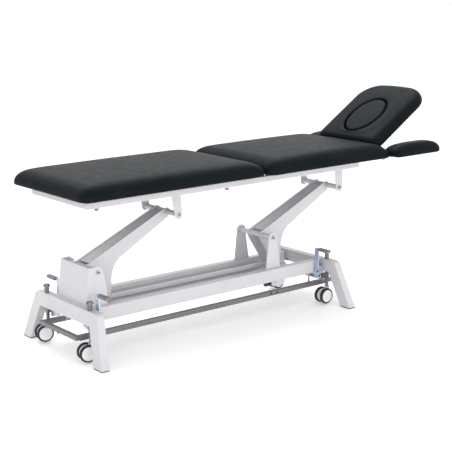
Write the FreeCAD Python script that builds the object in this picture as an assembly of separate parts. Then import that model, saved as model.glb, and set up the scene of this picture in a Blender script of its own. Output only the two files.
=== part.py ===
import FreeCAD, Part
import math
import os

# Height-adjustable examination couch, millimetres, +Z up, +X towards the head end.
# Lengths along X below are measured from the middle of the base; every piece is
# shifted by -CENTRE_X when it is saved, so the origin is below the middle of the couch.

V = FreeCAD.Vector
CENTRE_X = 284.73
GAP = 0.3

# base: two inverted-U leg frames joined by two rails
FOOT_X = 699.0
FOOT_Y = 323.0
FOOT_LEN = 36.0
FOOT_WID = 62.5
PAD_H = 4.0
BEAM_TOP = 218.0
BEAM_BOTTOM = 159.0
BEAM_LEAN = 31.0
BEAM_Y_TOP = 245.0
BEAM_Y_INNER = 200.0
RAIL_Y = 139.0
RAIL_W = 37.0
RAIL_TOP = 209.0
RAIL_BOTTOM = 150.0
RAIL_END = 631.0

# lift: two equal arms, tilted at rest
PIVOT_FOOT_X = -575.0
PIVOT_HEAD_X = 368.0
PIVOT_Z = 352.0
ARM_RUN = 408.0
ARM_RISE = 186.0
TAIL_RUN = 88.0
TAIL_RISE = -152.0
TUBE_R = 12.5
PIN_R = 8.0
RUN_FIT = 0.05
TOWER_Y = 118.5
TOWER_T = 5.0
HANGER_Y = 127.0
HANGER_T = 5.0
ARM_Y_LOW = 45.5
ARM_Y_HIGH = 37.0
ARM_T = 4.0

# upper frame and hinges
FRAME_Y = 221.0
FRAME_W = 25.0
FRAME_Z0 = 642.7
FRAME_Z1 = 668.7
FRAME_X0 = -678.0
FRAME_X1 = 814.0
LEG_HINGE_X = 198.0
LEG_HINGE_Z = 676.0
HEAD_HINGE_X = 957.0
HEAD_HINGE_Z = 671.0
HEAD_ANGLE = 32.5
KNUCKLE_R = 9.0

# cushions
CUSHION_Y = 300.0
CUSHION_TOP = 757.0
LEG_X0 = -740.0
LEG_X1 = 190.0
LEG_Z0 = 684.0
MID_X0 = 206.0
MID_X1 = 955.0
MID_Z0 = 681.0
HEAD_Y = 208.0
HEAD_S0 = 34.0
HEAD_S1 = 444.0
HEAD_N0 = 36.0
HEAD_N1 = 90.0
PLUG_S = 193.0
PLUG_A = 127.0
PLUG_B = 98.0
PLUG_GAP = 2.0
ARMREST_X0 = 958.0
ARMREST_X1 = 1270.0
ARMREST_Y0 = 225.0
ARMREST_Y1 = 335.0
ARMREST_Z0 = 683.0
ARMREST_Z1 = 743.0

# castors, pedals and foot bar
STEM_X = 654.0
STEM_Y = 175.0
STEM_R = 10.0
STEM_TOP = 246.0
CASTOR_TRAIL = 20.0
WHEEL_R = 37.5
WHEEL_Z = 42.5
WHEEL_W = 16.0
WHEEL_Y = 19.0
SWIVEL_FOOT = -13.0
LEVER_X = 606.0
LEVER_Y = 158.0
LEVER_Z = 140.0
LEVER_ARM = 17.0
PEDAL_Z = 270.0
BAR_X = 700.0
BAR_Y = 140.0
BAR_Z = 100.0


def box(x0, x1, y0, y1, z0, z1):
    return Part.makeBox(x1 - x0, y1 - y0, z1 - z0, V(x0, y0, z0))


def rod_x(y, z, r, x0, x1):
    return Part.makeCylinder(r, x1 - x0, V(x0, y, z), V(1, 0, 0))


def rod_y(x, z, r, y0, y1):
    return Part.makeCylinder(r, y1 - y0, V(x, y0, z), V(0, 1, 0))


def rod_z(x, y, r, z0, z1):
    return Part.makeCylinder(r, z1 - z0, V(x, y, z0), V(0, 0, 1))


def prism_y(points, y0, y1):
    corners = [V(x, y0, z) for x, z in points]
    face = Part.Face(Part.makePolygon(corners + corners[:1]))
    return face.extrude(V(0, y1 - y0, 0))


def prism_x(points, x0, x1):
    corners = [V(x0, y, z) for y, z in points]
    face = Part.Face(Part.makePolygon(corners + corners[:1]))
    return face.extrude(V(x1 - x0, 0, 0))


def fuse(shapes):
    solid = shapes[0]
    for other in shapes[1:]:
        solid = solid.fuse(other)
    return solid.removeSplitter()


def mirror_y(shape):
    return shape.mirror(V(0, 0, 0), V(0, 1, 0))


def mirror_x(shape):
    return shape.mirror(V(0, 0, 0), V(1, 0, 0))


def both_sides(shape):
    return [shape, mirror_y(shape)]


def hex_y(x, z, across, y0, y1):
    r = across / math.sqrt(3.0)
    points = []
    for k in range(6):
        angle = math.radians(60.0 * k)
        points.append((x + r * math.cos(angle), z + r * math.sin(angle)))
    return prism_y(points, y0, y1)


def hex_x(y, z, across, x0, x1):
    r = across / math.sqrt(3.0)
    points = []
    for k in range(6):
        angle = math.radians(60.0 * k)
        points.append((y + r * math.cos(angle), z + r * math.sin(angle)))
    return prism_x(points, x0, x1)


def fillet_where(shape, radius, test):
    edges = [e for e in shape.Edges if test(e)]
    return shape.makeFillet(radius, edges)


def is_vertical(edge):
    box_ = edge.BoundBox
    return box_.XLength < 0.01 and box_.YLength < 0.01


def save(name, shapes):
    solids = []
    for shape in shapes:
        solids.extend(shape.Solids)
    for k in range(len(solids)):
        solids[k] = solids[k].translated(V(-CENTRE_X, 0, 0))
    shape = solids[0] if len(solids) == 1 else Part.makeCompound(solids)
    shape.exportStep("parts/%s.step" % name)


# ---------------------------------------------------------------- base

def leg_frame():
    outer_low = FOOT_Y - (FOOT_Y - BEAM_Y_TOP) * PAD_H / BEAM_TOP
    inner_foot = FOOT_Y - FOOT_WID
    inner_low = inner_foot - (inner_foot - BEAM_Y_INNER) * PAD_H / BEAM_BOTTOM
    outline = [(-outer_low, PAD_H), (-BEAM_Y_TOP, BEAM_TOP), (BEAM_Y_TOP, BEAM_TOP),
               (outer_low, PAD_H), (inner_low, PAD_H), (BEAM_Y_INNER, BEAM_BOTTOM),
               (-BEAM_Y_INNER, BEAM_BOTTOM), (-inner_low, PAD_H)]
    corners = []
    for y, z in outline:
        corners.append(V(-FOOT_X + BEAM_LEAN * z / BEAM_TOP, y, z))
    face = Part.Face(Part.makePolygon(corners + corners[:1]))
    frame = face.extrude(V(FOOT_LEN, 0, 0))

    def outer_corner(edge):
        b = edge.BoundBox
        return b.ZMin > BEAM_TOP - 1 and b.YLength < 1 and abs(b.YMin) > BEAM_Y_TOP - 1

    frame = fillet_where(frame, 26.0, outer_corner)
    for y in (-STEM_Y, STEM_Y):
        frame = frame.cut(rod_z(-STEM_X, y, STEM_R + 0.08, 100, 300))
    return frame


def foot_pad(y_sign):
    outer = FOOT_Y - (FOOT_Y - BEAM_Y_TOP) * PAD_H / BEAM_TOP
    y0, y1 = sorted([y_sign * (outer - FOOT_WID), y_sign * outer])
    lean = BEAM_LEAN * PAD_H / BEAM_TOP
    return box(-FOOT_X + lean, -FOOT_X + lean + FOOT_LEN, y0, y1, 0, PAD_H)


def rail():
    x0 = -RAIL_END
    bar = box(x0, RAIL_END, -RAIL_Y, -RAIL_Y + RAIL_W, RAIL_BOTTOM, RAIL_TOP)
    return fillet_where(bar, 3.0, lambda e: e.BoundBox.XLength > 1000)


def base_tray():
    half = RAIL_Y - RAIL_W
    return box(-560, 600, -half, half, RAIL_BOTTOM + 1.0, RAIL_BOTTOM + 5.0)


def foot_tower():
    px = PIVOT_FOOT_X
    side = [(-630.5, RAIL_TOP), (-630.5, BEAM_TOP + 0.1), (-638.5, BEAM_TOP + 0.1), (-617.0, 374.0),
            (px + 4, 376.0), (px + 25, 360.0), (-536.0, 280.0), (-534.0, RAIL_TOP)]
    solid = prism_y(side, -TOWER_Y, TOWER_Y)

    def front_edge(edge):
        b = edge.BoundBox
        return b.XMax < -610 and b.ZLength > 100 and b.YLength < 1

    solid = fillet_where(solid, 14.0, front_edge)
    inside = [(-626.0, RAIL_TOP - 5), (-626.0, BEAM_TOP + 5), (-632.5, BEAM_TOP + 5), (-611.0, 372.0),
              (-611.0, 400.0), (-500.0, 400.0), (-500.0, RAIL_TOP - 5)]
    hollow = prism_y(inside, -TOWER_Y + TOWER_T, TOWER_Y - TOWER_T)
    solid = fuse([solid.cut(hollow), box(-652.0, -636.0, -140.0, 140.0, BEAM_TOP + 0.1, BEAM_TOP + 4)])
    return solid.cut(rod_y(px, PIVOT_Z, PIN_R, -200, 200))


def head_tower_plate():
    px = PIVOT_HEAD_X
    side = [(px - 42, RAIL_TOP), (px - 23, PIVOT_Z + 8), (px + 23, PIVOT_Z + 8), (px + 44, RAIL_TOP)]
    plate = prism_y(side, -TOWER_Y, -TOWER_Y + TOWER_T)
    plate = fuse([plate, rod_y(px, PIVOT_Z, 25.0, -TOWER_Y, -TOWER_Y + TOWER_T)])
    return plate.cut(rod_y(px, PIVOT_Z, PIN_R, -200, 0))


def pivot_bolt(x, z, half):
    bolt = rod_y(x, z, PIN_R, -half, half)
    for side in (-1, 1):
        y0, y1 = sorted([side * half, side * (half + 1.5)])
        bolt = bolt.fuse(rod_y(x, z, 11.5, y0, y1))
        y0, y1 = sorted([side * (half + 1.5), side * (half + 7.0)])
        bolt = bolt.fuse(hex_y(x, z, 13.0, y0, y1))
    return bolt.removeSplitter()


def lever_bracket(y_sign):
    x1 = -LEVER_X - 3.5
    plate = prism_x([(-169, 126), (-144, 126), (-144, 186), (-169, 186)], x1 - 4, x1)
    back = box(-636.2, x1 - 4, -169, -144, 162, 186)
    shank = rod_x(-LEVER_Y, LEVER_Z, 4.95, -LEVER_X - 7.5, -LEVER_X + 3.6)
    head = hex_x(-LEVER_Y, LEVER_Z, 13.0, -LEVER_X + 3.6, -LEVER_X + 9.0)
    nut = hex_x(-LEVER_Y, LEVER_Z, 13.0, -LEVER_X - 13.0, -LEVER_X - 7.5)
    bracket = fuse([plate, back, shank, head, nut])
    return bracket if y_sign < 0 else mirror_y(bracket)


def bar_guide(x):
    strap = box(x - 5, x + 5, -129.4, -126.4, BAR_Z - 6, RAIL_BOTTOM)
    foot = box(x - 5, x + 5, -126.4, -108, RAIL_BOTTOM - 3, RAIL_BOTTOM)
    return fuse([strap, foot])


def drive_motor():
    can = rod_x(-82, 128, 20.0, 398, 456)
    can = fillet_where(can, 4.0, lambda e: e.BoundBox.XLength < 0.01)
    cap = rod_x(-82, 128, 13.0, 380, 400)
    return fuse([can, cap, box(412, 442, -96, -68, 132, RAIL_BOTTOM + 1.0)])


def save_base():
    frame = leg_frame()
    save("leg_frame_foot", [frame])
    save("leg_frame_head", [mirror_x(frame)])
    pads = [foot_pad(-1), foot_pad(1)]
    save("foot_pads", pads + [mirror_x(p) for p in pads])
    save("base_rails", both_sides(rail()))
    save("base_tray", [base_tray()])
    save("foot_tower", [foot_tower()])
    save("head_tower_plates", both_sides(head_tower_plate()))
    save("base_pivot_bolts", [pivot_bolt(x, PIVOT_Z, TOWER_Y) for x in (PIVOT_FOOT_X, PIVOT_HEAD_X)])
    brackets = [lever_bracket(-1), lever_bracket(1)]
    save("lever_brackets", brackets + [mirror_x(b) for b in brackets])
    guides = [bar_guide(x) for x in (-590, 580)]
    save("bar_guides", guides + [mirror_y(g) for g in guides])
    save("drive_motor", [drive_motor()])


# ---------------------------------------------------------------- lift arms

def arm_point(px, run, rise):
    length = math.hypot(ARM_RUN, ARM_RISE)
    cos_a = ARM_RUN / length
    sin_a = ARM_RISE / length
    return (px + run * cos_a - rise * sin_a, PIVOT_Z + run * sin_a + rise * cos_a)


def arm_plate(px):
    length = math.hypot(ARM_RUN, ARM_RISE)
    top0 = arm_point(px, -4, 19)
    top1 = arm_point(px, length, 19)
    turn = V(px + 154, 0, PIVOT_Z + 21)
    bend = V(px + 123, 0, PIVOT_Z - 19)
    tail = V(px + 112, 0, PIVOT_Z - 75)
    corners = [V(px + 104, 0, PIVOT_Z - 148), V(px + 72, 0, PIVOT_Z - 157), V(px - 16, 0, PIVOT_Z - 18),
               V(top0[0], 0, top0[1]), V(top1[0], 0, top1[1]), V(px + 418, 0, PIVOT_Z + 164), turn]
    wire = Part.Wire([Part.Arc(turn, bend, tail).toShape(), Part.makePolygon([tail] + corners)])
    plate = Part.Face(wire).extrude(V(0, ARM_T, 0))
    discs = [(px, PIVOT_Z, 21.0), (px + ARM_RUN, PIVOT_Z + ARM_RISE, 18.0),
             (px + TAIL_RUN, PIVOT_Z + TAIL_RISE, 17.0)]
    for x, z, r in discs:
        plate = plate.fuse(rod_y(x, z, r, 0, ARM_T))
    plate = plate.removeSplitter()
    plate.translate(V(0, -ARM_Y_LOW, 0))
    taper = math.degrees(math.atan((ARM_Y_LOW - ARM_Y_HIGH) / ARM_RUN))
    plate.rotate(V(px, -ARM_Y_LOW, 0), V(0, 0, 1), taper)
    return plate


def arm_web(px, run0, run1, rise0, rise1, slope):
    y0 = ARM_Y_LOW - 1.5 - slope * run0
    y1 = ARM_Y_LOW - 1.5 - slope * run1
    a = arm_point(px, run0, rise0)
    b = arm_point(px, run1, rise1)
    corners = [V(a[0], -y0, a[1]), V(a[0], y0, a[1]), V(b[0], y1, b[1]), V(b[0], -y1, b[1])]
    face = Part.Face(Part.makePolygon(corners + corners[:1]))
    normal = arm_point(px, 0, 1)
    return face.extrude(V((normal[0] - px) * -ARM_T, 0, (normal[1] - PIVOT_Z) * -ARM_T))


def arm_shell(px):
    length = math.hypot(ARM_RUN, ARM_RISE)
    slope = (ARM_Y_LOW - ARM_Y_HIGH) / length
    near = arm_plate(px)
    shell = fuse([near, mirror_y(near), arm_web(px, 20, length - 20, 13.5, 13.5, slope),
                  arm_web(px, 165, length - 22, -39, -17, slope)])
    shell = shell.cut(rod_y(px, PIVOT_Z, TUBE_R + 0.02, -100, 100))
    shell = shell.cut(rod_y(px + ARM_RUN, PIVOT_Z + ARM_RISE, TUBE_R + 0.02, -100, 100))
    x = px + TAIL_RUN
    z = PIVOT_Z + TAIL_RISE
    ends = [rod_y(x, z, 9.0, -52, -44), rod_y(x, z, 9.0, 44, 52)]
    return fuse([shell, rod_y(x, z, 6.0, -50, 50)] + ends)


def arm_tubes(px):
    low = rod_y(px, PIVOT_Z, TUBE_R, -TOWER_Y + TOWER_T + GAP, TOWER_Y - TOWER_T - GAP)
    low = low.cut(rod_y(px, PIVOT_Z, PIN_R + RUN_FIT, -200, 200))
    qx = px + ARM_RUN
    qz = PIVOT_Z + ARM_RISE
    high_half = HANGER_Y - HANGER_T - GAP
    high = rod_y(qx, qz, TUBE_R, -high_half, high_half)
    high = high.cut(rod_y(qx, qz, PIN_R + RUN_FIT, -200, 200))
    return [low, high]


def tie_rod():
    x0 = PIVOT_FOOT_X + TAIL_RUN
    x1 = PIVOT_HEAD_X + TAIL_RUN
    z = PIVOT_Z + TAIL_RISE
    eyes = [rod_y(x, z, 13.0, -12, 12) for x in (x0, x1)]
    rod = fuse(eyes + [box(x0 + 8, x1 - 8, -8, 8, z - 8, z + 8)])
    for x in (x0, x1):
        rod = rod.cut(rod_y(x, z, 6.0 + RUN_FIT, -50, 50))
    return rod


def save_lift():
    for name, px in (("arm_foot", PIVOT_FOOT_X), ("arm_head", PIVOT_HEAD_X)):
        save(name + "_shell", [arm_shell(px)])
        save(name + "_tubes", arm_tubes(px))
    save("tie_rod", [tie_rod()])


# ---------------------------------------------------------------- upper frame

def side_rail():
    return box(FRAME_X0 + FRAME_W, FRAME_X1 - FRAME_W, -FRAME_Y, -FRAME_Y + FRAME_W, FRAME_Z0, FRAME_Z1)


def end_tube(x0):
    tube = box(x0, x0 + FRAME_W, -FRAME_Y, FRAME_Y, FRAME_Z0, FRAME_Z1)
    return fillet_where(tube, 3.0, is_vertical)


def cross_tube(x):
    inner = FRAME_Y - FRAME_W
    return box(x - 20, x + 20, -inner, inner, FRAME_Z0, FRAME_Z1)


def hanger(x_top, x_low):
    z = PIVOT_Z + ARM_RISE
    side = [(x_top - 22.5, FRAME_Z0), (x_low - 20, z), (x_low + 20, z), (x_top + 22.5, FRAME_Z0)]
    plate = prism_y(side, -HANGER_Y, -HANGER_Y + HANGER_T)
    plate = fuse([plate, rod_y(x_low, z, 20.0, -HANGER_Y, -HANGER_Y + HANGER_T)])
    return plate.cut(rod_y(x_low, z, PIN_R, -200, 0))


def leg_lug():
    lug = prism_y([(LEG_HINGE_X - 9, FRAME_Z1), (LEG_HINGE_X + 9, FRAME_Z1),
                   (LEG_HINGE_X + 5, LEG_HINGE_Z + 3), (LEG_HINGE_X - 5, LEG_HINGE_Z + 3)], -195, -185)
    lug = lug.fuse(rod_y(LEG_HINGE_X, LEG_HINGE_Z, 6.0, -195, -185)).removeSplitter()
    return fuse([lug, rod_y(LEG_HINGE_X, LEG_HINGE_Z, 3.0, -219, -195)])


def seat_bar():
    return box(232, 790, -190, -150, FRAME_Z1, MID_Z0)


def head_bracket():
    y0 = -150.0
    side = [(FRAME_X1, FRAME_Z0 + 2), (FRAME_X1, FRAME_Z1), (HEAD_HINGE_X, HEAD_HINGE_Z + 8),
            (HEAD_HINGE_X + 7, HEAD_HINGE_Z - 5), (HEAD_HINGE_X - 4, HEAD_HINGE_Z - 8)]
    plate = prism_y(side, y0 - 4, y0 + 4)
    plate = fuse([plate, rod_y(HEAD_HINGE_X, HEAD_HINGE_Z, KNUCKLE_R, y0 - 4, y0 + 4)])
    return plate.cut(rod_y(HEAD_HINGE_X, HEAD_HINGE_Z, 6.0, -300, 0))


def save_upper_frame():
    save("frame_side_rails", both_sides(side_rail()))
    save("frame_end_tubes", [end_tube(FRAME_X0), end_tube(FRAME_X1 - FRAME_W)])
    x_foot = PIVOT_FOOT_X + ARM_RUN
    x_head = PIVOT_HEAD_X + ARM_RUN
    hinge_tube = fuse([cross_tube(LEG_HINGE_X)] + both_sides(leg_lug()))
    save("frame_cross_tubes", [cross_tube(x_foot - 13), hinge_tube, cross_tube(752)])
    save("hangers", both_sides(hanger(x_foot - 13, x_foot)) + both_sides(hanger(x_head - 2, x_head)))
    z = PIVOT_Z + ARM_RISE
    save("hanger_bolts", [pivot_bolt(x, z, HANGER_Y) for x in (x_foot, x_head)])
    save("seat_bars", both_sides(seat_bar()))
    save("head_brackets", both_sides(head_bracket()))
    save("head_hinge_shaft", [rod_y(HEAD_HINGE_X, HEAD_HINGE_Z, 5.98, -244, 244)])
    save("seat_cushion", [cushion(MID_X0, MID_X1, -CUSHION_Y, CUSHION_Y, MID_Z0, CUSHION_TOP, 75, 58)])


# ---------------------------------------------------------------- cushions

def cushion(x0, x1, y0, y1, z0, z1, corner, roll):
    pad = box(x0, x1, y0, y1, z0, z1)
    pad = fillet_where(pad, corner, is_vertical)
    pad = fillet_where(pad, roll, lambda e: e.BoundBox.ZMin > z1 - 0.01)
    return fillet_where(pad, 7.0, lambda e: e.BoundBox.ZMax < z0 + 0.01)


def oval(x, semi_x, semi_y, z0, z1):
    ellipse = Part.Ellipse(V(x, 0, z0), semi_x, semi_y)
    return Part.Face(Part.Wire(ellipse.toShape())).extrude(V(0, 0, z1 - z0))


def tilt_head(shape):
    hinge = V(HEAD_HINGE_X, 0, HEAD_HINGE_Z)
    shape.rotate(hinge, V(0, 1, 0), -HEAD_ANGLE)
    return shape


def head_cushion():
    x = HEAD_HINGE_X
    z = HEAD_HINGE_Z
    pad = cushion(x + HEAD_S0, x + HEAD_S1, -HEAD_Y, HEAD_Y, z + HEAD_N0, z + HEAD_N1, 80, 36)
    pad = pad.cut(oval(x + PLUG_S, PLUG_A + PLUG_GAP, PLUG_B + PLUG_GAP, z, z + 200))
    return tilt_head(pad)


def head_plug():
    x = HEAD_HINGE_X + PLUG_S
    z = HEAD_HINGE_Z
    plug = oval(x, PLUG_A, PLUG_B, z + HEAD_N0 + 4, z + HEAD_N1)
    plug = fillet_where(plug, 6.0, lambda e: e.BoundBox.ZMin > z + HEAD_N1 - 0.01)
    return tilt_head(plug)


def head_frame():
    x = HEAD_HINGE_X
    z = HEAD_HINGE_Z
    pieces = []
    for side in (-1, 1):
        y0 = side * 115.5
        pieces.append(rod_y(x, z, KNUCKLE_R, y0 - 12, y0 + 12))
        pieces.append(prism_y([(x + 3, z + 8.5), (x + 6, z - 6), (x + 60, z + HEAD_N0 - 8), (x + 60, z + HEAD_N0),
                               (x + 38, z + HEAD_N0)], y0 - 8, y0 + 8))
        pieces.append(box(x + 38, x + 405, y0 - 14, y0 + 14, z + HEAD_N0 - 8, z + HEAD_N0))
    pieces.append(box(x + 370, x + 405, -115, 115, z + HEAD_N0 - 8, z + HEAD_N0))
    frame = fuse(pieces)
    frame = frame.cut(rod_y(x, z, 5.98 + RUN_FIT, -300, 300))
    return tilt_head(frame)


def armrest_bracket():
    x = HEAD_HINGE_X
    z = HEAD_HINGE_Z
    bar = box(x + 9, x + 280, -262, -234, ARMREST_Z0 - 7, ARMREST_Z0)
    hub = rod_y(x, z, KNUCKLE_R - 1.0, -242, -226)
    web = prism_y([(x, z + 6), (x + 6, z - 5), (x + 26, ARMREST_Z0 - 7), (x + 26, ARMREST_Z0),
                   (x + 9, ARMREST_Z0)], -242, -226)
    bracket = fuse([bar, hub, web])
    return bracket.cut(rod_y(x, z, 5.98 + RUN_FIT, -300, 0))


def armrest_cushion():
    return cushion(ARMREST_X0, ARMREST_X1, -ARMREST_Y1, -ARMREST_Y0, ARMREST_Z0, ARMREST_Z1, 36, 33)


def leg_subframe():
    z0 = FRAME_Z1 + GAP
    inner = FRAME_Y - FRAME_W
    pieces = []
    for side in (-1, 1):
        y0, y1 = sorted([side * inner, side * FRAME_Y])
        bar = box(FRAME_X0 + 10, LEG_HINGE_X - 1, y0, y1, z0, LEG_Z0)
        pieces.append(bar.fuse(rod_y(LEG_HINGE_X, LEG_HINGE_Z, 6.9, y0, y1)).removeSplitter())
    pieces.append(box(FRAME_X0 + 10, FRAME_X0 + 40, -inner, inner, z0 + 4, LEG_Z0))
    pieces.append(box(140, 170, -inner, inner, z0 + 4, LEG_Z0))
    frame = fuse(pieces)
    return frame.cut(rod_y(LEG_HINGE_X, LEG_HINGE_Z, 3.0 + RUN_FIT, -300, 300))


def save_sections():
    save("leg_subframe", [leg_subframe()])
    save("leg_cushion", [cushion(LEG_X0, LEG_X1, -CUSHION_Y, CUSHION_Y, LEG_Z0, CUSHION_TOP, 85, 58)])
    save("head_frame", [head_frame()])
    save("head_cushion", [head_cushion()])
    save("face_plug", [head_plug()])
    bracket = armrest_bracket()
    pad = armrest_cushion()
    save("armrest_bracket_near", [bracket])
    save("armrest_bracket_far", [mirror_y(bracket)])
    save("armrest_near", [pad])
    save("armrest_far", [mirror_y(pad)])


# ---------------------------------------------------------------- castors, pedals, foot bar

def stem(y_sign):
    x = -STEM_X
    y = -STEM_Y
    post = rod_z(x, y, STEM_R, LEVER_Z - 12, STEM_TOP)
    post = post.fuse(rod_z(x, y, STEM_R - 2.5, WHEEL_Z + 44, LEVER_Z - 11))
    cap = Part.makeCone(STEM_R + 5.5, STEM_R + 3.0, 9.0, V(x, y, STEM_TOP), V(0, 0, 1))
    lug = box(x, -LEVER_X - 8, y - 9, y + 3, LEVER_Z - 10, LEVER_Z + 10)
    slot = box(-700, -500, y - 1.2, y + 1.2, LEVER_Z - 4.3, LEVER_Z + 4.3)
    lug = lug.cut(slot)
    for dy in (-1.2, 1.2):
        lug = lug.cut(rod_x(y + dy, LEVER_Z, 4.3, -644, -500))
    solid = fuse([post, cap, lug])
    return solid if y_sign < 0 else mirror_y(solid)


def castor_hood(x, y):
    ax = x - CASTOR_TRAIL
    z = WHEEL_Z
    side = [(ax - 12, z + 4), (x - 8, z + 37), (x + 8, z + 37), (x + 8, z + 22), (ax + 12, z - 4)]
    body = prism_y(side, y - 7, y + 7)
    body = fuse([body, rod_y(ax, z, 12.5, y - 9, y + 9), rod_z(x, y, 9.0, z + 20, z + 38.5),
                 rod_z(x, y, 11.0, z + 38.2, z + 43.7)])
    axle = rod_y(ax, z, 5.0, y - 24, y + 24)
    return fuse([body, axle])


def castor_tyre(x, y):
    ax = x - CASTOR_TRAIL
    half = WHEEL_W / 2.0
    ring = rod_y(ax, WHEEL_Z, WHEEL_R, y - half, y + half)
    ring = fillet_where(ring, 4.0, lambda e: e.BoundBox.YLength < 0.01)
    return ring.cut(rod_y(ax, WHEEL_Z, WHEEL_R - 6.5, y - 50, y + 50))


def castor_disc(x, y, outward):
    ax = x - CASTOR_TRAIL
    half = WHEEL_W / 2.0
    disc = rod_y(ax, WHEEL_Z, WHEEL_R - 6.5, y - half, y + half)
    blind = rod_y(ax, WHEEL_Z, 5.0 + RUN_FIT, y - half, y + half - 2.0)
    if outward < 0:
        blind = rod_y(ax, WHEEL_Z, 5.0 + RUN_FIT, y - half + 2.0, y + half)
    return disc.cut(blind)


def save_castor(name, x, y, swivel):
    tyres = [castor_tyre(x, y - WHEEL_Y), castor_tyre(x, y + WHEEL_Y)]
    discs = [castor_disc(x, y - WHEEL_Y, -1), castor_disc(x, y + WHEEL_Y, 1)]
    hood = castor_hood(x, y)
    for shape in tyres + discs + [hood]:
        shape.rotate(V(x, y, 0), V(0, 0, 1), swivel)
    save("castor_%s_hood" % name, [hood])
    save("castor_%s_tyres" % name, tyres)
    save("castor_%s_discs" % name, discs)


def lever(y_sign):
    x0 = -LEVER_X - 3.0
    x1 = -LEVER_X + 3.0
    y = -LEVER_Y
    strap = box(x0, x1, y - 13, y + 13, LEVER_Z, PEDAL_Z + 5)
    strap = fillet_where(strap, 10.0, lambda e: e.BoundBox.YMin > y + 12 and e.BoundBox.ZMin > PEDAL_Z)
    arm = box(x0, x1, y - 78, y, PEDAL_Z - 5, PEDAL_Z + 5)
    lobe = prism_x([(y, LEVER_Z - 13), (y - LEVER_ARM, LEVER_Z - 10), (y - LEVER_ARM, LEVER_Z + 10),
                    (y, LEVER_Z + 16)], x0, x1)
    plate = fuse([strap, arm, lobe, rod_x(y, LEVER_Z, 13.0, x0, x1),
                  rod_x(y - LEVER_ARM, LEVER_Z, 10.0, x0, x1)])
    plate = plate.cut(rod_x(y, LEVER_Z, 5.0, x0 - 1, x1 + 1))
    plate = fuse([plate, rod_x(y - LEVER_ARM, LEVER_Z, 4.0, x0 - 14, x0)])
    return plate if y_sign < 0 else mirror_y(plate)


def sleeve(y_sign):
    y = -LEVER_Y
    grip = box(-LEVER_X - 12, -LEVER_X + 12, y - 84, y - 14, PEDAL_Z - 7.5, PEDAL_Z + 7.5)
    grip = fillet_where(grip, 5.5, lambda e: e.BoundBox.YLength > 60)
    core = box(-LEVER_X - 3, -LEVER_X + 3, y - 78, y, PEDAL_Z - 5, PEDAL_Z + 5)
    grip = grip.cut(core)
    return grip if y_sign < 0 else mirror_y(grip)


def foot_bar():
    half = 10.0
    z0 = BAR_Z - 10.5
    z1 = BAR_Z + 10.5
    x_in = BAR_X - half
    long_bar = box(-x_in, x_in, -BAR_Y - half, -BAR_Y + half, z0, z1)
    for side in (-1, 1):
        groove_y = -BAR_Y + side * half
        long_bar = long_bar.cut(box(-x_in, x_in, groove_y - 1.2, groove_y + 1.2, BAR_Z - 4, BAR_Z + 4))
    return long_bar


def end_bar():
    half = 10.0
    z0 = BAR_Z - 7.5
    z1 = BAR_Z + 10.5
    bar = box(-BAR_X - half, -BAR_X + half, -BAR_Y - half, BAR_Y + half, z0, z1)
    tab = box(-BAR_X - half, -BAR_X - half + 3, -6, 6, z0 - 6, z0)
    return fuse([bar, tab])


def save_underside():
    for side, sign in (("near", -1), ("far", 1)):
        save("stem_foot_%s" % side, [stem(sign)])
        save("stem_head_%s" % side, [mirror_x(stem(sign))])
    save_castor("foot_near", -STEM_X, -STEM_Y, SWIVEL_FOOT)
    save_castor("foot_far", -STEM_X, STEM_Y, SWIVEL_FOOT)
    save_castor("head_near", STEM_X, -STEM_Y, 0.0)
    save_castor("head_far", STEM_X, STEM_Y, 0.0)
    for side, sign in (("near", -1), ("far", 1)):
        save("pedal_foot_%s" % side, [lever(sign)])
        save("pedal_head_%s" % side, [mirror_x(lever(sign))])
        save("sleeve_foot_%s" % side, [sleeve(sign)])
        save("sleeve_head_%s" % side, [mirror_x(sleeve(sign))])
    bar = foot_bar()
    save("foot_bar_sides", [bar, mirror_y(bar)])
    end = end_bar()
    save("foot_bar_ends", [end, mirror_x(end)])


os.makedirs("parts", exist_ok=True)
save_base()
save_lift()
save_upper_frame()
save_sections()
save_underside()
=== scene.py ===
import math

import bmesh
import bpy
from mathutils import Matrix, Vector


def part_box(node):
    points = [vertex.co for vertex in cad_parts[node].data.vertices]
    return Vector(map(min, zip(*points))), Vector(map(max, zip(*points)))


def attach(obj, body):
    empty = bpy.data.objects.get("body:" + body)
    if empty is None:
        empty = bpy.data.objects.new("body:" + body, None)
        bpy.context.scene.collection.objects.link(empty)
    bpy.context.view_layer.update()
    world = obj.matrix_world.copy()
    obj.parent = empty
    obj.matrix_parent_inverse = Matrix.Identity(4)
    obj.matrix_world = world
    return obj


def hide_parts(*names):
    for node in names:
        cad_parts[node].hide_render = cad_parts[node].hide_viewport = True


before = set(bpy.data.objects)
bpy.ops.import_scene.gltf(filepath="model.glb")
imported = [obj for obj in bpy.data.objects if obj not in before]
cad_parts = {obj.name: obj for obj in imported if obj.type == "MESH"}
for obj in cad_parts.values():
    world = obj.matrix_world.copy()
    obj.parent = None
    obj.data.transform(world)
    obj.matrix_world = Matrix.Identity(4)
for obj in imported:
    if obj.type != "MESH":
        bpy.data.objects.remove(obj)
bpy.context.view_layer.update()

# ---------------------------------------------------------------- measures, metres

SHIFT_X = -0.28473
HINGE_X = 0.957 + SHIFT_X
HINGE_Z = 0.671
HEAD_TILT = math.radians(32.5)
CORNERS = ("foot_near", "foot_far", "head_near", "head_far")
TRAIL = 0.020
WHEEL_R = 0.0375
WHEEL_Z = 0.0425
STEM_X = 0.654
STEM_Y = 0.175
FOOT_SWIVEL = math.radians(-13.0)

# One of a castor's two wheels
WHEEL_OFFSET = 0.019
TYRE_HALF_WIDTH = 0.008
TYRE_CROWN = 0.0042
DISC_HALF_WIDTH = 0.0078

# Camera
CAMERA_PLACE = (-2.9818 + SHIFT_X, -4.0561, 1.5653)
CAMERA_LENS = 91.96726
SENSOR_WIDTH = 36.0

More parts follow.
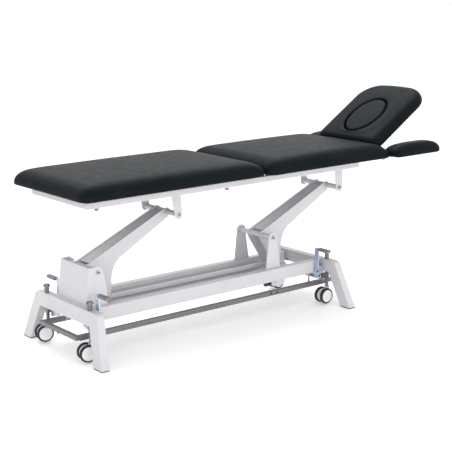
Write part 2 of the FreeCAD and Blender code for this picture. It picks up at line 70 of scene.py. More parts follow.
# Cushion covers
COVER_TRIM = 0.0015
LIP = 0.008
HELD_HEIGHT = 0.012
LINING_INSET = 0.022
CLOTH_FRAMES = 14
LEVEL_ENDS = ((0, 0), (0, 0))
CORNER_SHRINK = 0.6
SMALLEST_CORNER = 0.02
PLEAT_DEPTH = 0.0009
PLEAT_HEIGHT = 0.03

# Head section, from the hinge: along its slope, across, and up from it
HEAD_START = 0.015
HEAD_END = 0.459
HEAD_HALF_Y = 0.210
HEAD_LOW = 0.036
HEAD_HIGH = 0.0915
HEAD_CROWN = 0.005
HEAD_ROLL = 0.046
HEAD_BOW = 0.024
HEAD_CORNERS = (0.020, 0.112)
HOLE_X = 0.193
HOLE_HALF_X = 0.129
HOLE_HALF_Y = 0.100
PLUG_HALF_X = 0.1268
PLUG_HALF_Y = 0.0978
PLUG_LOW = 0.0402
PLUG_HEIGHT = 0.0535

PLAIN_BEVEL = 0.0008
TINY = 1e-9


# ---------------------------------------------------------------- camera, floor and light

def make_camera():
    yaw = math.radians(-38.0)
    pitch = math.radians(-12.6)
    roll = math.radians(-0.7)
    ahead = Vector((-math.sin(yaw) * math.cos(pitch), math.cos(yaw) * math.cos(pitch), math.sin(pitch)))
    level = ahead.cross(Vector((0, 0, 1))).normalized()
    upright = level.cross(ahead)
    right = level * math.cos(roll) + upright * math.sin(roll)
    up = upright * math.cos(roll) - level * math.sin(roll)
    data = bpy.data.cameras.new("camera")
    data.sensor_width = SENSOR_WIDTH
    data.lens = CAMERA_LENS
    data.clip_end = 60.0
    camera = bpy.data.objects.new("camera", data)
    bpy.context.scene.collection.objects.link(camera)
    turn = Matrix((right, up, -ahead)).transposed().to_4x4()
    camera.matrix_world = Matrix.Translation(CAMERA_PLACE) @ turn
    bpy.context.scene.camera = camera


def make_floor():
    bm = bmesh.new()
    bmesh.ops.create_grid(bm, x_segments=1, y_segments=1, size=30.0)
    data = bpy.data.meshes.new("floor")
    bm.to_mesh(data)
    bm.free()
    floor = bpy.data.objects.new("floor", data)
    bpy.context.scene.collection.objects.link(floor)
    floor.location = (0, 0, -0.0004)
    material, _, shader = new_material("floor", (0.94, 0.94, 0.94), 0.6)
    shader.inputs["Specular IOR Level"].default_value = 0.1
    shader.inputs["Emission Color"].default_value = (1, 1, 1, 1)
    shader.inputs["Emission Strength"].default_value = 0.2
    floor.data.materials.append(material)


def area_light(name, place, target, size, power):
    data = bpy.data.lights.new(name, "AREA")
    data.shape = "RECTANGLE"
    data.size = size[0]
    data.size_y = size[1]
    data.energy = power
    light = bpy.data.objects.new(name, data)
    bpy.context.scene.collection.objects.link(light)
    direction = Vector(target) - Vector(place)
    light.matrix_world = Matrix.Translation(place) @ direction.to_track_quat("-Z", "Y").to_matrix().to_4x4()
    light.visible_camera = False


def make_light():
    bpy.context.scene.view_settings.view_transform = "Standard"
    world = bpy.data.worlds.new("world")
    bpy.context.scene.world = world
    world.use_nodes = True
    background = world.node_tree.nodes["Background"]
    background.inputs["Color"].default_value = (1, 1, 1, 1)
    background.inputs["Strength"].default_value = 1.0
    area_light("overhead", (0.6, 1.6, 3.4), (0, 0, 0.6), (4.2, 2.4), 80.0)
    area_light("from_left", (-3.6, -1.6, 1.6), (0, 0, 0.4), (2.4, 1.6), 9.0)
    area_light("from_front", (-0.6, -4.2, 1.2), (0, 0, 0.3), (3.6, 1.4), 48.0)


# ---------------------------------------------------------------- materials

def new_material(name, colour, roughness, metallic=0.0):
    material = bpy.data.materials.new(name)
    material.use_nodes = True
    tree = material.node_tree
    shader = tree.nodes["Principled BSDF"]
    shader.inputs["Base Color"].default_value = (*colour, 1)
    shader.inputs["Roughness"].default_value = roughness
    shader.inputs["Metallic"].default_value = metallic
    return material, tree, shader


def texture(tree, kind, scale, stretch=(1, 1, 1)):
    coordinates = tree.nodes.new("ShaderNodeTexCoord")
    mapping = tree.nodes.new("ShaderNodeMapping")
    mapping.inputs["Scale"].default_value = stretch
    tree.links.new(coordinates.outputs["Object"], mapping.inputs["Vector"])
    node = tree.nodes.new(kind)
    node.inputs["Scale"].default_value = scale
    tree.links.new(mapping.outputs["Vector"], node.inputs["Vector"])
    return node


def noise_texture(tree, scale, detail=3.0, stretch=(1, 1, 1)):
    node = texture(tree, "ShaderNodeTexNoise", scale, stretch)
    node.inputs["Detail"].default_value = detail
    return node.outputs["Fac"]


def vary_colour(tree, shader, value, low, high):
    ramp = tree.nodes.new("ShaderNodeValToRGB")
    ramp.color_ramp.elements[0].position = 0.35
    ramp.color_ramp.elements[0].color = (*low, 1)
    ramp.color_ramp.elements[1].position = 0.65
    ramp.color_ramp.elements[1].color = (*high, 1)
    tree.links.new(value, ramp.inputs["Fac"])
    tree.links.new(ramp.outputs["Color"], shader.inputs["Base Color"])


def vary_roughness(tree, shader, value, low, high):
    spread = tree.nodes.new("ShaderNodeMapRange")
    spread.inputs["From Min"].default_value = 0.3
    spread.inputs["From Max"].default_value = 0.7
    spread.inputs["To Min"].default_value = low
    spread.inputs["To Max"].default_value = high
    tree.links.new(value, spread.inputs["Value"])
    tree.links.new(spread.outputs["Result"], shader.inputs["Roughness"])


def add_bump(tree, shader, value, strength, height):
    bump = tree.nodes.new("ShaderNodeBump")
    bump.inputs["Strength"].default_value = strength
    bump.inputs["Distance"].default_value = height
    tree.links.new(value, bump.inputs["Height"])
    before = shader.inputs["Normal"].links
    if before:
        tree.links.new(before[0].from_socket, bump.inputs["Normal"])
    tree.links.new(bump.outputs["Normal"], shader.inputs["Normal"])


def coated_metal(name, low, high, roughness=0.4):
    material, tree, shader = new_material(name, high, roughness)
    vary_colour(tree, shader, noise_texture(tree, 6.0), low, high)
    vary_roughness(tree, shader, noise_texture(tree, 35.0), roughness - 0.06, roughness + 0.08)
    add_bump(tree, shader, noise_texture(tree, 700.0, 2.0), 0.12, 0.0002)
    shader.inputs["Coat Weight"].default_value = 0.12
    shader.inputs["Coat Roughness"].default_value = 0.3
    return material


def plated_metal(name, low, high, roughness=0.32):
    material, tree, shader = new_material(name, high, roughness, 0.85)
    vary_colour(tree, shader, noise_texture(tree, 60.0), low, high)
    vary_roughness(tree, shader, noise_texture(tree, 220.0), roughness - 0.06, roughness + 0.1)
    add_bump(tree, shader, noise_texture(tree, 500.0, 4.0), 0.15, 0.0002)
    return material


def drawn_metal(name, low, high, roughness=0.42):
    material, tree, shader = new_material(name, high, roughness, 0.55)
    streaks = noise_texture(tree, 260.0, 4.0, (0.02, 1, 1))
    vary_colour(tree, shader, streaks, low, high)
    vary_roughness(tree, shader, noise_texture(tree, 40.0), roughness - 0.05, roughness + 0.1)
    add_bump(tree, shader, streaks, 0.2, 0.0002)
    return material


def plastic(name, low, high, roughness, grain=0.12):
    material, tree, shader = new_material(name, high, roughness)
    vary_colour(tree, shader, noise_texture(tree, 25.0), low, high)
    vary_roughness(tree, shader, noise_texture(tree, 90.0), roughness - 0.05, roughness + 0.07)
    add_bump(tree, shader, noise_texture(tree, 1400.0, 2.0), grain, 0.0002)
    return material


def leather(name, low, high, roughness):
    material, tree, shader = new_material(name, high, roughness)
    vary_colour(tree, shader, noise_texture(tree, 9.0), low, high)
    vary_roughness(tree, shader, noise_texture(tree, 30.0), roughness - 0.03, roughness + 0.05)
    pebbles = texture(tree, "ShaderNodeTexVoronoi", 620.0)
    pebbles.feature = "SMOOTH_F1"
    pebbles.inputs["Smoothness"].default_value = 0.6
    add_bump(tree, shader, pebbles.outputs["Distance"], 0.25, 0.0004)
    add_bump(tree, shader, noise_texture(tree, 2400.0, 2.0), 0.12, 0.0001)
    shader.inputs["Sheen Weight"].default_value = 0.004
    shader.inputs["Sheen Roughness"].default_value = 0.5
    shader.inputs["Specular IOR Level"].default_value = 0.05
    shader.inputs["Specular Tint"].default_value = (0.80, 0.93, 1.0, 1)
    return material


def woven_lining(name):
    material, tree, shader = new_material(name, (0.012, 0.012, 0.013), 0.85)
    threads = texture(tree, "ShaderNodeTexWave", 900.0)
    vary_colour(tree, shader, noise_texture(tree, 60.0), (0.009, 0.009, 0.01), (0.016, 0.016, 0.017))
    add_bump(tree, shader, threads.outputs["Fac"], 0.35, 0.0003)
    return material


def make_materials():
    return {
        "paint": coated_metal("paint", (0.550, 0.540, 0.562), (0.578, 0.568, 0.590)),
        "zinc": plated_metal("zinc", (0.42, 0.45, 0.50), (0.58, 0.61, 0.66)),
        "blue_zinc": plated_metal("blue_zinc", (0.42, 0.55, 0.68), (0.60, 0.70, 0.80), 0.4),
        "dark_zinc": plated_metal("dark_zinc", (0.15, 0.14, 0.135), (0.24, 0.225, 0.22), 0.36),
        "bar": drawn_metal("bar", (0.17, 0.155, 0.165), (0.225, 0.21, 0.22)),
        "leather": leather("leather", (0.0050, 0.0072, 0.0088), (0.0066, 0.0092, 0.0112), 0.42),
        "lining": woven_lining("lining"),
        "tyre": plastic("tyre", (0.012, 0.012, 0.015), (0.020, 0.020, 0.024), 0.65, 0.3),
        "disc": plastic("disc", (0.72, 0.72, 0.74), (0.78, 0.78, 0.80), 0.38),
        "hood": plastic("hood", (0.50, 0.52, 0.56), (0.58, 0.60, 0.64), 0.45),
        "grip": plastic("grip", (0.175, 0.168, 0.168), (0.22, 0.212, 0.212), 0.5, 0.3),
        "rubber": plastic("rubber", (0.02, 0.02, 0.022), (0.035, 0.035, 0.037), 0.7, 0.4),
        "motor": coated_metal("motor", (0.68, 0.69, 0.71), (0.74, 0.75, 0.77), 0.45),
        "black": plastic("black", (0.015, 0.016, 0.018), (0.025, 0.026, 0.03), 0.45),
    }


# ---------------------------------------------------------------- mesh helpers

def new_piece(name, bm, material, smooth=True):
    data = bpy.data.meshes.new(name)
    bmesh.ops.recalc_face_normals(bm, faces=bm.faces)
    bm.to_mesh(data)
    bm.free()
    piece = bpy.data.objects.new(name, data)
    bpy.context.scene.collection.objects.link(piece)
    data.materials.append(MATERIALS[material])
    for polygon in data.polygons:
        polygon.use_smooth = smooth
    return piece


def add_modifier(piece, kind, **settings):
    modifier = piece.modifiers.new(kind.lower(), kind)
    for key, value in settings.items():
        setattr(modifier, key, value)
    return modifier


def soften_edges(piece, width, segments=2, angle=0.5):
    add_modifier(piece, "BEVEL", width=width, segments=segments, limit_method="ANGLE", angle_limit=angle)
    add_modifier(piece, "WEIGHTED_NORMAL", keep_sharp=True)


def bridge(bm, loops, around=False):
    """Joins each ring of vertices to the next with quads, and the last to the first if it goes around."""
    following = loops[1:] + loops[:1] if around else loops[1:]
    for a, b in zip(loops, following):
        for k in range(len(a)):
            j = (k + 1) % len(a)
            bm.faces.new((a[k], a[j], b[j], b[k]))


def close_ends(bm, loops):
    bm.faces.new(loops[0][::-1])
    bm.faces.new(loops[-1])


def lathe(bm, profile, place, axis, steps):
    """Turns (radius, height) pairs about an axis through a place and closes both ends."""
    turn = Vector((0, 0, 1)).rotation_difference(Vector(axis)).to_matrix()
    rings = []
    for radius, height in profile:
        ring = []
        for k in range(steps):
            angle = 2 * math.pi * k / steps
            point = Vector((radius * math.cos(angle), radius * math.sin(angle), height))
            ring.append(bm.verts.new(Vector(place) + turn @ point))
        rings.append(ring)
    bridge(bm, rings)
    close_ends(bm, rings)


def between(start, end, share):
    return start + (end - start) * share


# ---------------------------------------------------------------- cushions

def rounded_ring(half_x, half_y, radii, steps):
    """Points round a rounded rectangle, from the middle of a corner, steps per side.

    Radii are those of the low-X and the high-X corners.
    """
    low = min(radii[0], half_x, half_y)
    high = min(radii[1], half_x, half_y)
    points = []
    for side, (first, last) in enumerate(((low, high), (high, high), (high, low), (low, low))):
        along, across = ((half_x, half_y), (half_y, half_x))[side % 2]
        straight = 2 * along - first - last
        arc_a = first * math.pi / 4
        arc_b = last * math.pi / 4
        total = straight + arc_a + arc_b
        for k in range(steps):
            travel = total * k / steps
            if travel < arc_a:
                angle = math.pi * 1.25 + travel / max(first, TINY)
                point = (first - along + first * math.cos(angle), first - across + first * math.sin(angle))
            elif travel < arc_a + straight:
                point = (first - along + travel - arc_a, -across)
            else:
                angle = math.pi * 1.5 + (travel - arc_a - straight) / max(last, TINY)
                point = (along - last + last * math.cos(angle), last - across + last * math.sin(angle))
            spin = side * math.pi / 2
            x = point[0] * math.cos(spin) - point[1] * math.sin(spin)
            y = point[0] * math.sin(spin) + point[1] * math.cos(spin)
            points.append((x, y))
    return points


def oval_ring(half_x, half_y, steps):
    points = []
    for k in range(4 * steps):
        angle = math.pi * 1.25 + 2 * math.pi * k / (4 * steps)
        points.append((half_x * math.cos(angle), half_y * math.sin(angle)))
    return points


def side_profile(height, roll, lip, steps=9):
    """(inset, height) pairs up one side of a pad: under edge, lip, bulge and roll onto the top."""
    points = []
    for k in range(4):
        angle = math.pi / 2 * k / 3
        points.append((lip * (1 - math.sin(angle)), lip * (1 - math.cos(angle))))
    start = min(lip + 0.006, height - roll * 0.8)
    points.append((0.0, start))
    rise = height - start
    for k in range(1, steps + 1):
        angle = math.pi / 2 * k / steps
        points.append((roll * (1 - math.cos(angle)), start + rise * math.sin(angle)))
    return points


def grid_ring(grid, level, size):
    """Vertices of one square ring of a size x size grid, starting at its low corner."""
    low, high = level, size - 1 - level
    ring = [grid[k][low] for k in range(low, high)]
    ring += [grid[high][k] for k in range(low, high)]
    ring += [grid[k][high] for k in range(high, low, -1)]
    ring += [grid[low][k] for k in range(high, low, -1)]
    return ring


def pad_surface(bm, size, rings):
    """Fills a grid whose square rings, from the rim inwards, take the given lists of points."""
    grid = [[bm.verts.new((0, 0, 0)) for _ in range(size)] for _ in range(size)]
    for level, points in enumerate(rings):
        ring = grid_ring(grid, level, size)
        for vertex, point in zip(ring, points):
            vertex.co = point
    for i in range(size - 1):
        for j in range(size - 1):
            bm.faces.new((grid[i][j], grid[i + 1][j], grid[i + 1][j + 1], grid[i][j + 1]))


def pleat(x, y, height):
    """Small gathers in the cover where it turns a corner, fading out above the lip."""
    angle = math.atan2(y, x)
    corner = abs(math.sin(2 * angle)) ** 6
    fade = max(0.0, 1 - height / PLEAT_HEIGHT)
    return PLEAT_DEPTH * corner * fade * math.sin(40 * angle)


def pull_in(x, y, half_x, half_y, pull):
    """Draws the sides in between the corners."""
    across = 1 - (x / half_x) ** 2
    along = 1 - (y / half_y) ** 2
    return x * (1 - pull / half_x * max(along, 0)), y * (1 - pull / half_y * max(across, 0))


def end_drop(x, half_x, drops):
    """How far the top falls at x, given the (length, depth) of an elliptic fall at each end."""
    fall = 0.0
    for side, (length, depth) in zip((-1, 1), drops):
        reach = (side * x - (half_x - length)) / length if length else 0.0
        reach = min(max(reach, 0.0), 1.0)
        fall += depth * (1 - math.sqrt(max(1 - reach * reach, 0.0)))
    return fall


def shrunk(corners, inset, share=1.0):
    """Corner radii of a ring that lies inset from the rim, scaled by its share of the rim's size."""
    return [max(corner - inset * CORNER_SHRINK, min(corner, SMALLEST_CORNER)) * share for corner in corners]


def outline(half_x, half_y, corners, steps):
    """Points round a rounded rectangle, or round an oval where there are no corner radii."""
    if corners is None:
        return oval_ring(half_x, half_y, steps)
    return rounded_ring(half_x, half_y, corners, steps)


def pad_rings(half_x, half_y, corners, profile, size, crown, pull, drops):
    """Rings of (x, y, height) points from the under edge to the middle of the top."""
    rings = []
    inset, top = profile[-1]
    for level in range(size // 2):
        steps = size - 1 - 2 * level
        if level < len(profile):
            inset_here, height = profile[level]
            share = 1.0
        else:
            inset_here, height = inset, top
            share = (size / 2 - level) / (size / 2 - len(profile) + 1)
        radii = corners and shrunk(corners, inset_here, share)
        points = []
        for x, y in outline((half_x - inset_here) * share, (half_y - inset_here) * share, radii, steps):
            bulge = crown * (1 - (x / half_x) ** 2) * (1 - (y / half_y) ** 2) * height / top
            bulge -= end_drop(x, half_x, drops) * (height / top) ** 2
            x2, y2 = pull_in(x, y, half_x, half_y, pull)
            shrink = 1 - pleat(x, y, height) / half_y
            points.append((x2 * shrink, y2 * shrink, height + bulge))
        rings.append(points)
    return rings


def build_pad(name, half_x, half_y, height, corners, roll, lip, crown, pull, size, drops=LEVEL_ENDS):
    """A closed pad about its own middle, with its flat underside at height 0.

    It is an oval where corners is None.
    """
    bm = bmesh.new()
    profile = side_profile(height - crown, roll, lip)
    rings = pad_rings(half_x, half_y, corners, profile, size, crown, pull, drops)
    pad_surface(bm, size, rings)
    under = []
    for level in range(size // 2):
        share = 1 - level / (size / 2)
        steps = size - 1 - 2 * level
        radii = corners and shrunk(corners, lip, share)
        flat = outline((half_x - lip) * share, (half_y - lip) * share, radii, steps)
        under.append([(*pull_in(x, y, half_x, half_y, pull), 0.0) for x, y in flat])
    under[0] = rings[0]
    pad_surface(bm, size, under)
    bmesh.ops.remove_doubles(bm, verts=bm.verts, dist=0.0001)
    return new_piece(name, bm, "leather")


def smooth_travel(data, travel, passes=24):
    """Evens out how far neighbouring points of the cover have moved."""
    near = [[] for _ in travel]
    for edge in data.edges:
        a, b = edge.vertices
        near[a].append(b)
        near[b].append(a)
    for _ in range(passes):
        travel = [sum((travel[j] for j in near[k]), travel[k] * 2) / (len(near[k]) + 2)
                  for k in range(len(travel))]
    return travel


def everywhere(point):
    return 1.0


def inflate(piece, held_below, pressure, cap, share_at=everywhere):
    """Blows the cover up like a tight cushion, holds its underside, and caps each point's travel.

    share_at gives the share of its travel that the point at a place keeps.
    """
    rest = [vertex.co.copy() for vertex in piece.data.vertices]
    pins = piece.vertex_groups.new(name="pins")
    pins.add([k for k, point in enumerate(rest) if point.z < held_below], 1.0, "REPLACE")
    cloth = piece.modifiers.new("cloth", "CLOTH")
    cloth.settings.quality = 5
    cloth.settings.mass = 0.3
    cloth.settings.tension_stiffness = 30
    cloth.settings.compression_stiffness = 30
    cloth.settings.shear_stiffness = 12
    cloth.settings.bending_stiffness = 4
    cloth.settings.use_pressure = True
    cloth.settings.uniform_pressure_force = pressure
    cloth.settings.effector_weights.gravity = 0
    cloth.settings.vertex_group_mass = "pins"
    cloth.collision_settings.use_collision = False
    cloth.point_cache.frame_end = CLOTH_FRAMES
    scene = bpy.context.scene
    for number in range(1, CLOTH_FRAMES + 1):
        scene.frame_set(number)
    swollen = piece.evaluated_get(bpy.context.evaluated_depsgraph_get()).to_mesh()
    moved = [vertex.co.copy() for vertex in swollen.vertices]
    piece.modifiers.remove(cloth)
    travel = [end - start for start, end in zip(rest, moved)]
    travel = smooth_travel(piece.data, [t * min(1.0, cap / max(t.length, TINY)) for t in travel])
    for vertex, start, step in zip(piece.data.vertices, rest, travel):
        vertex.co = start + step * share_at(start)
    scene.frame_set(1)
    piece.vertex_groups.clear()


def finish_cushion(piece, body, node, place):
    add_modifier(piece, "SUBSURF", levels=1, render_levels=1)
    piece.matrix_world = place
    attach(piece, body)
    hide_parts(node)


def flat_cushion(node, body, corners, roll, crown, pull, size, pressure, cap, drops):
    low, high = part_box(node)
    half_x = (high[0] - low[0]) / 2 - COVER_TRIM
    half_y = (high[1] - low[1]) / 2 - COVER_TRIM
    height = high[2] - low[2] - COVER_TRIM
    piece = build_pad(node + "_cover", half_x, half_y, height, corners, roll, LIP, crown, pull, size, drops)
    inflate(piece, HELD_HEIGHT, pressure, cap)
    place = Matrix.Translation(((low[0] + high[0]) / 2, (low[1] + high[1]) / 2, low[2]))
    finish_cushion(piece, body, node, place)
    tighter = [corner * 0.8 for corner in corners]
    lining_panel(node + "_lining", half_x - LINING_INSET, half_y - LINING_INSET, tighter, place, body)


def lining_panel(name, half_x, half_y, corners, place, body):
    """The dust cloth stapled under a cushion."""
    bm = bmesh.new()
    loops = []
    for height in (-0.0002, 0.001):
        loops.append([bm.verts.new((x, y, height)) for x, y in rounded_ring(half_x, half_y, corners, 24)])
    close_ends(bm, loops)
    bridge(bm, loops)
    piece = new_piece(name, bm, "lining", smooth=False)
    piece.matrix_world = place
    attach(piece, body)


def head_place():
    """From (along, across, up) of the head section to the row frame."""
    return Matrix.Translation((HINGE_X, 0, HINGE_Z)) @ Matrix.Rotation(-HEAD_TILT, 4, "Y")


def head_rings(steps=34):
    """Rings of (along, across, up) points up the pad's sides, over its top, down the hole and back below."""
    middle = (HEAD_START + HEAD_END) / 2
    half_x = (HEAD_END - HEAD_START) / 2
    rings = []
    profile = side_profile(HEAD_HIGH - HEAD_LOW - HEAD_CROWN, HEAD_ROLL, LIP)
    for inset, height in profile:
        flat = rounded_ring(half_x - inset, HEAD_HALF_Y - inset, shrunk(HEAD_CORNERS, inset), steps)
        stretch = (half_x - inset * CORNER_SHRINK) / (half_x - inset)
        ring = []
        for x, y in flat:
            bow = HEAD_BOW * (y / HEAD_HALF_Y) ** 2 * max(x / half_x, 0.0) ** 2
            ring.append((middle + (x * stretch if x < 0 else x - bow), y, HEAD_LOW + height))
        rings.append(ring)
    rim = rings[-1]
    mouth = oval_ring(HOLE_HALF_X, HOLE_HALF_Y, steps)
    for k in range(1, 10):
        share = k / 10
        dome = HEAD_LOW + profile[-1][1] + HEAD_CROWN * share * share * (3 - 2 * share)
        rings.append([(between(p[0], HOLE_X + x * 1.05, share), between(p[1], y * 1.06, share), dome)
                      for p, (x, y) in zip(rim, mouth)])
    for grow, drop in ((1.035, 0.0012), (1.018, 0.004), (1.008, 0.009), (1.002, 0.017), (1.0, 0.03)):
        rings.append([(HOLE_X + x * grow, y * grow, HEAD_HIGH - drop) for x, y in mouth])
    throat = [(HOLE_X + x * 0.989, y * 0.986) for x, y in mouth]
    for height in (HELD_HEIGHT, 0.0):
        rings.append([(x, y, HEAD_LOW + height) for x, y in throat])
    for k in range(1, 6):
        share = k / 6
        rings.append([(between(x, p[0], share), between(y, p[1], share), HEAD_LOW)
                      for (x, y), p in zip(throat, rings[0])])
    return rings


def away_from_hole(point):
    """0 up to the rim of the hole, rising to 1 about a third of the hole's radius further out."""
    reach = math.hypot((point.x - HOLE_X) / HOLE_HALF_X, point.y / HOLE_HALF_Y)
    return min(max((reach - 1.06) / 0.3, 0.0), 1.0)


def head_cushion():
    """A ring-shaped pad round an oval hole, built lying flat along its own slope."""
    bm = bmesh.new()
    loops = [[bm.verts.new(point) for point in ring] for ring in head_rings()]
    bridge(bm, loops, around=True)
    piece = new_piece("head_cushion_cover", bm, "leather")
    inflate(piece, HEAD_LOW + HELD_HEIGHT, pressure=2.5, cap=0.003, share_at=away_from_hole)
    finish_cushion(piece, "head_section", "head_cushion", head_place())


def face_plug():
    piece = build_pad("face_plug_cover", PLUG_HALF_X, PLUG_HALF_Y, PLUG_HEIGHT, corners=None, roll=0.012,
                      lip=0.004, crown=0.003, pull=0.0, size=32)
    inflate(piece, held_below=0.03, pressure=2.0, cap=0.0012)
    place = head_place() @ Matrix.Translation((HOLE_X, 0, PLUG_LOW))
    finish_cushion(piece, "plug", "face_plug", place)


def make_cushions():
    flat_cushion("leg_cushion", "leg_section", corners=(0.046, 0.035), roll=0.060, crown=0.006, pull=0.002,
                 size=64, pressure=3.0, cap=0.003, drops=((0.16, 0.007), (0.13, 0.018)))
    flat_cushion("seat_cushion", "deck", corners=(0.035, 0.035), roll=0.062, crown=0.006, pull=0.003,
                 size=60, pressure=3.0, cap=0.003, drops=((0.06, 0.006), (0.13, 0.018)))
    for side in ("near", "far"):
        flat_cushion("armrest_" + side, "rest_" + side, corners=(0.020, 0.036), roll=0.034, crown=0.004,
                     pull=0.001, size=40, pressure=2.5, cap=0.0015, drops=((0.13, 0.014), (0.10, 0.020)))
    head_cushion()
    face_plug()


# ---------------------------------------------------------------- castors

def stem_place(corner):
    x = STEM_X if corner.startswith("head") else -STEM_X
    y = STEM_Y if corner.endswith("far") else -STEM_Y
    return Vector((x + SHIFT_X, y, 0))


def wheel_frame(corner):
    """Place and turn of a castor's axle: local X forwards, local Y along the axle."""
    swivel = 0.0 if corner.startswith("head") else FOOT_SWIVEL
    turn = Matrix.Rotation(swivel, 4, "Z")
    return Matrix.Translation(stem_place(corner)) @ turn @ Matrix.Translation((-TRAIL, 0, WHEEL_Z))


def ring_profile(bm, profile, place, steps=64):
    """Turns a closed (radius, width) outline about the local Y axis."""
    loops = []
    for radius, width in profile:
        loop = []
        for k in range(steps):
            angle = 2 * math.pi * k / steps
            point = Vector((radius * math.cos(angle), width, radius * math.sin(angle)))
            loop.append(bm.verts.new(place @ point))
        loops.append(loop)
    bridge(bm, loops, around=True)


def tyre(bm, place, side):
    middle = side * WHEEL_OFFSET
    tread = []
    for k in range(9):
        angle = math.pi * k / 8
        tread.append((WHEEL_R - TYRE_CROWN + TYRE_CROWN * math.sin(angle),
                      middle - TYRE_HALF_WIDTH * math.cos(angle)))
    seat = WHEEL_R - 0.0082
    rim = TYRE_HALF_WIDTH * 0.92
    ring_profile(bm, tread + [(seat, middle + rim), (seat, middle - rim)], place)


def wheel_disc(bm, place, side):
    """A slightly domed disc with its face turned outwards."""
    r = WHEEL_R - 0.0080
    face = [(r, -DISC_HALF_WIDTH), (r, 0.0066), (r - 0.0008, DISC_HALF_WIDTH), (r - 0.0022, 0.0086),
            (r - 0.006, 0.0090), (0.014, 0.0095), (0.006, 0.0097), (0.0001, 0.0098),
            (0.0001, -DISC_HALF_WIDTH)]
    ring_profile(bm, [(radius, side * (WHEEL_OFFSET + width)) for radius, width in face], place)


def castor(corner):
    place = wheel_frame(corner)
    for part, build, material, slot in (("tyres", tyre, "tyre", "tyre_grey"),
                                        ("discs", wheel_disc, "disc", "disc_white")):
        bm = bmesh.new()
        for side in (-1, 1):
            build(bm, place, side)
        piece = new_piece("castor_%s_%s_detail" % (corner, part), bm, material)
        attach(piece, "wheels_" + corner)
        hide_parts("castor_%s_%s" % (corner, part))


# ---------------------------------------------------------------- foot levers

def grip(corner):
    """A ribbed sleeve pushed over the lever's end."""
    low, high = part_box("sleeve_" + corner)
    middle = [(low[k] + high[k]) / 2 for k in range(3)]
    half = [(high[k] - low[k]) / 2 for k in range(3)]
    bm = bmesh.new()
    loops = []
    stations = 56
    for k in range(stations + 1):
        share = k / stations
        end = min(share, 1 - share) * 2 * half[1]
        rounding = math.sqrt(max(0.0, 1 - max(0.0, 1 - end / 0.005) ** 2))
        rib = 0.94 + 0.06 * abs(math.cos(math.pi * share * 9)) ** 0.5
        size = rib * (0.72 + 0.28 * rounding)
        ring = rounded_ring(half[0] * size, half[2] * size, (0.006, 0.006), 8)
        y = middle[1] - half[1] + 2 * half[1] * share
        loops.append([bm.verts.new((middle[0] + x, y, middle[2] + z)) for x, z in ring])
    bridge(bm, loops)
    close_ends(bm, loops)
    piece = new_piece("sleeve_%s_ribbed" % corner, bm, "grip")
    soften_edges(piece, 0.0004, 1, 0.8)
    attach(piece, "lever_" + corner)
    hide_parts("sleeve_" + corner)


# ---------------------------------------------------------------- small hardware

def millimetres(*place):
    """A point given in millimetres from the base's middle, in the row's frame."""
    return Vector(place) / 1000 + Vector((SHIFT_X, 0, 0))


def turned(name, body, material, profile, stations, steps=24):
    """One piece of turned parts: a (radius, height) profile in millimetres at each (place, axis)."""
    bm = bmesh.new()
    for place, axis in stations:
        lathe(bm, [(r / 1000, h / 1000) for r, h in profile], millimetres(*place), axis, steps)
    piece = new_piece(name, bm, material)
    soften_edges(piece, 0.0004)
    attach(piece, body)


def ends(x, y, z):
    """The stations of one place on the near and the far side, both facing outwards."""
    return [((x, side * y, z), (0, side, 0)) for side in (-1, 1)]


def rail_ribs():
    """Two long rounded ribs rolled into the inner face of each base rail."""
    inner_face = 0.1022
    depth = 0.0022
    half_height = 0.005
    half_length = 0.590
    bm = bmesh.new()
    for side in (-1, 1):
        for z in (0.168, 0.191):
            loops = []
            for x in (-half_length, half_length):
                ring = [(x + SHIFT_X, side * (inner_face - depth * math.sin(math.pi * k / 8)),
                         z - half_height * math.cos(math.pi * k / 8)) for k in range(9)]
                loops.append([bm.verts.new(point) for point in ring])
            bridge(bm, loops)
            close_ends(bm, loops)
    piece = new_piece("rail_ribs", bm, "paint", smooth=False)
    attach(piece, "base")


def stem_gussets():
    """A zinc plate beside each castor stem, under the beam."""
    bm = bmesh.new()
    plate = ((0.095, 0.134), (0.095, 0.130), (0.168, 0.111), (0.170, 0.113), (0.170, 0.157), (0.120, 0.157))
    for fx in (-1, 1):
        for fy in (-1, 1):
            loops = []
            for x in (0.6385, 0.6415):
                loops.append([bm.verts.new((fx * x + SHIFT_X, fy * y, z)) for y, z in plate])
            bridge(bm, loops)
            close_ends(bm, loops)
    piece = new_piece("stem_gussets", bm, "blue_zinc", smooth=False)
    soften_edges(piece, 0.0006)
    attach(piece, "base")


WASHER = [(9, 0), (14.4, 0), (14.8, 0.6), (14.8, 3.4), (14.4, 4), (9, 4)]
SOCKET_SHADE = [(4.2, 0), (4.2, 0.5), (3.9, 0.7), (0.4, 0.7)]
# A thin black disc on a bolt head: painted shade standing in for the recess of its hex socket.
SCREW = [(4.6, 0), (4.6, 1.2), (4.0, 2.4), (2.4, 3.1), (0.4, 3.2)]
BUFFER = [(9, 0), (9, 8), (8, 10.5), (0.4, 10.8)]
COUPLING = [(6, -6), (12, -6), (12.5, -4), (12.5, 6), (9, 7), (9, 14), (13, 15), (13, 24), (6, 26)]
PIN_HEAD = [(6.5, 0), (6.5, 2.5), (5.5, 3.5), (0.4, 3.6)]

ARM_BASES = (("arm_foot", -575.0), ("arm_head", 368.0))
ARM_SPAN = 408
TOWER_BOLT_Z = 352
HANGER_BOLT_Z = 538


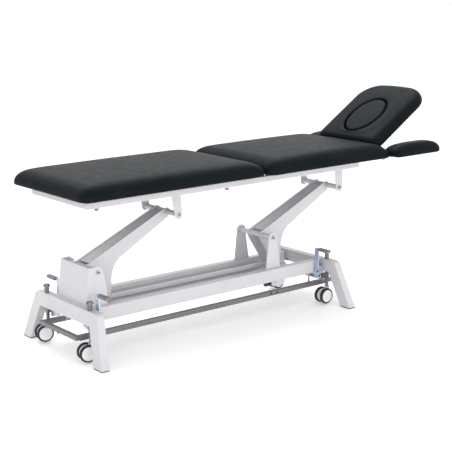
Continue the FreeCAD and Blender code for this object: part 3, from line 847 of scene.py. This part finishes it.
def pivot_hardware():
    """Washers at the pivots of the two lift arms, and thin black discs on the bolt heads as painted shade in
    their sockets.
    """
    tower_bolts = []
    hanger_bolts = []
    for arm, x in ARM_BASES:
        turned(arm + "_washers", arm, "paint", WASHER,
               ends(x, 108.6, TOWER_BOLT_Z) + ends(x + ARM_SPAN, 117.2, HANGER_BOLT_Z))
        tower_bolts += ends(x, 125.4, TOWER_BOLT_Z)
        hanger_bolts += ends(x + ARM_SPAN, 133.9, HANGER_BOLT_Z)
    # Black discs on the pivot bolt heads: painted shade for the recesses of their sockets.
    turned("tower_bolt_socket_shade", "base", "black", SOCKET_SHADE, tower_bolts)
    turned("hanger_bolt_socket_shade", "deck", "black", SOCKET_SHADE, hanger_bolts)


def base_hardware():
    """Screws of the foot bar, the levers and the beam, the deck's rail buffers and the drive's coupling."""
    turned("bar_screws", "foot_bar", "black", SCREW,
           ends(330, 149.8, 102) + ends(366, 149.8, 102))
    turned("rail_buffers", "deck", "grip", BUFFER,
           [((x, y, 642.9), (0, 0, -1)) for x in (-626, 32) for y in (-208, 208)])
    turned("drive_coupling", "base", "black", COUPLING, [((354, -82, 128), (1, 0, 0))], 32)
    for corner in CORNERS:
        fx = 1 if corner.startswith("head") else -1
        fy = 1 if corner.endswith("far") else -1
        turned("lever_bolts_" + corner, "lever_" + corner, "black", SCREW,
               [((fx * 603.2, fy * y, z), (-fx, 0, 0)) for y, z in ((166, 162), (178, 142))])
    turned("beam_screws", "base", "black", SCREW,
           [((636.0, y, z), (-1, 0, 0)) for y, z in ((124, 182), (90, 166), (-124, 182), (-90, 166))])
    turned("tail_pin_heads", "arm_head", "black", PIN_HEAD, ends(456, 51.8, 200))


def make_hardware():
    pivot_hardware()
    base_hardware()
    rail_ribs()
    stem_gussets()


# ---------------------------------------------------------------- CAD pieces that stay

NODE_FINISH = {
    "paint": ["leg_frame_foot", "leg_frame_head", "base_rails", "base_tray", "foot_tower", "tie_rod",
              "head_tower_plates", "arm_foot_shell", "arm_head_shell", "arm_foot_tubes", "arm_head_tubes",
              "frame_side_rails", "frame_end_tubes", "frame_cross_tubes", "hangers", "seat_bars",
              "head_brackets", "leg_subframe", "head_frame", "armrest_bracket_near", "armrest_bracket_far"],
    "zinc": ["base_pivot_bolts", "hanger_bolts", "head_hinge_shaft", "bar_guides"],
    "blue_zinc": ["lever_brackets"] + ["pedal_" + corner for corner in CORNERS],
    "dark_zinc": ["stem_" + corner for corner in CORNERS],
    "hood": ["castor_%s_hood" % corner for corner in CORNERS],
    "rubber": ["foot_pads"],
    "bar": ["foot_bar_sides", "foot_bar_ends"],
    "motor": ["drive_motor"],
}

BEVELS = {
    "leg_frame_foot": 0.004, "leg_frame_head": 0.004, "base_rails": 0.003, "frame_side_rails": 0.003,
    "frame_end_tubes": 0.003, "frame_cross_tubes": 0.002, "leg_subframe": 0.002, "foot_bar_sides": 0.0015,
    "foot_bar_ends": 0.002, "drive_motor": 0.0015, "foot_tower": 0.0015,
}


def finish_nodes():
    for material, nodes in NODE_FINISH.items():
        for name in nodes:
            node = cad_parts[name]
            node.data.materials.clear()
            node.data.materials.append(MATERIALS[material])
            add_modifier(node, "WELD", merge_threshold=0.00002)
            add_modifier(node, "DECIMATE", decimate_type="DISSOLVE", angle_limit=0.01)
            soften_edges(node, BEVELS.get(name, PLAIN_BEVEL))


MATERIALS = make_materials()
make_camera()
make_floor()
make_light()
make_cushions()
for corner_name in CORNERS:
    castor(corner_name)
    grip(corner_name)
make_hardware()
finish_nodes()
